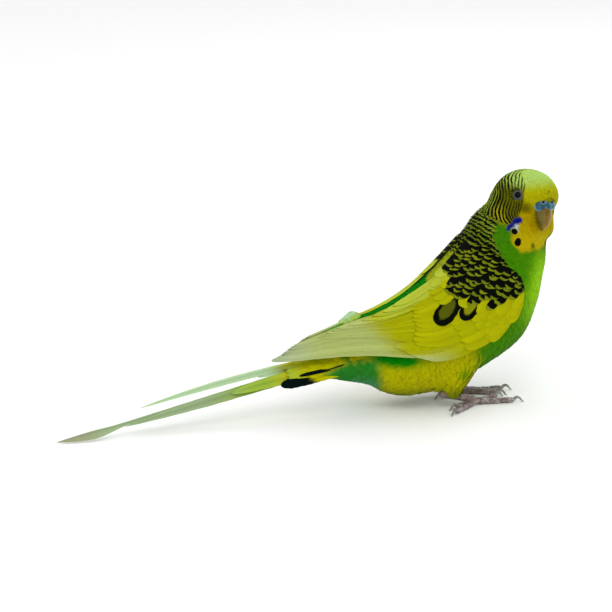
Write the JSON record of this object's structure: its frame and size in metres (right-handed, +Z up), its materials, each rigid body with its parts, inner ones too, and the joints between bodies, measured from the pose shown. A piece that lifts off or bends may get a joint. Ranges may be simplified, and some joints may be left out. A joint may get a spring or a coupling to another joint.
{
  "type": "budgerigar",
  "caption": "Life-size budgerigar in green and yellow pied plumage, wings folded, head turned to its right and long tail resting on the floor.",
  "frame": {"origin": "on the floor, under the middle of the bird's own bounding box", "axes": "+X the way the body faces, away from the tail; +Y its left; +Z up"},
  "size_m": [0.1711, 0.039, 0.0762],
  "materials": {
    "green_plumage": "matte feathers",
    "yellow_plumage": "matte feathers",
    "tail_feather": "matte feathers",
    "cere_skin": "smooth bare skin",
    "bill_horn": "smooth horn",
    "leg_skin": "scaly skin",
    "claw_horn": "dull horn",
    "eye_gloss": "wet gloss"
  },
  "bodies": {
    "root": {"head": "yellow_plumage", "neck": "green_plumage", "torso": "green_plumage", "wing_right": "yellow_plumage", "wing_left": "yellow_plumage", "tail": "tail_feather", "thigh_right": "yellow_plumage", "thigh_left": "yellow_plumage", "foot_right": "leg_skin", "foot_left": "leg_skin", "claw_right_front_outer": "claw_horn", "claw_right_front_inner": "claw_horn", "claw_right_back_outer": "claw_horn", "claw_right_back_inner": "claw_horn", "claw_left_front_outer": "claw_horn", "claw_left_front_inner": "claw_horn", "claw_left_back_outer": "claw_horn", "claw_left_back_inner": "claw_horn", "cere": "cere_skin", "upper_bill": "bill_horn", "lower_bill": "bill_horn", "eye_right": "eye_gloss", "eye_left": "eye_gloss"}
  },
  "joints": []
}
